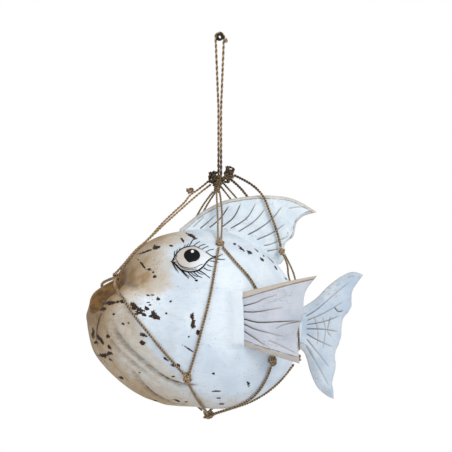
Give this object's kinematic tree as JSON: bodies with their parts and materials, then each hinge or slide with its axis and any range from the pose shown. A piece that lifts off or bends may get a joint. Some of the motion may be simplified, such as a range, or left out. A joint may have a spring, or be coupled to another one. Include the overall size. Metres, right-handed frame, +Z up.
{
  "type": "hanging carved fish ornament",
  "caption": "Carved whitewashed wooden fish with gaping mouth and board fins, carried in a knotted cord net under a cord loop with a small eye for a nail or hook.",
  "frame": {"origin": "middle of the hanging eye's hole", "axes": "+X from the fish's head to its tail, +Y out of the fish's right cheek and along the eye's hole, +Z up"},
  "size_m": [0.3555, 0.199, 0.4837],
  "materials": {
    "whitewashed_wood": "matte distressed paint",
    "bare_wood": "bare turned wood",
    "jute_cord": "twisted natural fibre",
    "dark_metal": "dull blackened"
  },
  "bodies": {
    "eye": {"hanging_eye": "dark_metal"},
    "loop": {"loop_cord": "jute_cord", "loop_knot": "jute_cord"},
    "fish_and_net": {"back_cord_front": "jute_cord", "back_cord_outer": "jute_cord", "back_cord_rear": "jute_cord", "belly_cord_left": "jute_cord", "belly_cord_middle": "jute_cord", "belly_cord_right": "jute_cord", "bottom_knot": "jute_cord", "carved_body": "whitewashed_wood", "cheek_knot_left": "jute_cord", "cheek_knot_right": "jute_cord", "crest_cord": "jute_cord", "dorsal_dowel_front": "bare_wood", "dorsal_dowel_rear": "bare_wood", "dorsal_fin": "whitewashed_wood", "dorsal_knot_left": "jute_cord", "dorsal_knot_right": "jute_cord", "drop_cord_left": "jute_cord", "drop_cord_right": "jute_cord", "flank_cord_left": "jute_cord", "flank_cord_right": "jute_cord", "front_cord_left": "jute_cord", "front_cord_right": "jute_cord", "jaw_cord_left": "jute_cord", "jaw_cord_right": "jute_cord", "left_dowel_lower": "bare_wood", "left_dowel_upper": "bare_wood", "left_fin": "whitewashed_wood", "lower_cord_left": "jute_cord", "lower_cord_right": "jute_cord", "main_knot_left": "jute_cord", "main_knot_right": "jute_cord", "main_wrap": "jute_cord", "mouth_knot": "jute_cord", "rear_knot_left": "jute_cord", "rear_knot_right": "jute_cord", "right_dowel_lower": "bare_wood", "right_dowel_upper": "bare_wood", "right_fin": "whitewashed_wood", "shoulder_cord_left_front": "jute_cord", "shoulder_cord_left_rear": "jute_cord", "shoulder_cord_right_front": "jute_cord", "shoulder_cord_right_rear": "jute_cord", "shoulder_knot_left": "jute_cord", "shoulder_knot_right": "jute_cord", "stub_knot": "jute_cord", "tail_dowel_lower": "bare_wood", "tail_dowel_upper": "bare_wood", "tail_fin": "whitewashed_wood", "tail_knot": "jute_cord", "tail_knot_right": "jute_cord", "tail_strand_left": "jute_cord", "tail_strand_right": "jute_cord"}
  },
  "joints": [
    {"name": "swing", "type": "hinge", "parent": "eye", "child": "loop", "pos_m": [0, 0, 0], "axis": [0, 1, 0], "range_deg": [-30, 30]},
    {"name": "twist", "type": "hinge", "parent": "loop", "child": "fish_and_net", "pos_m": [0, 0, -0.1735], "axis": [0, 0, 1], "range_deg": [-150, 150]}
  ]
}
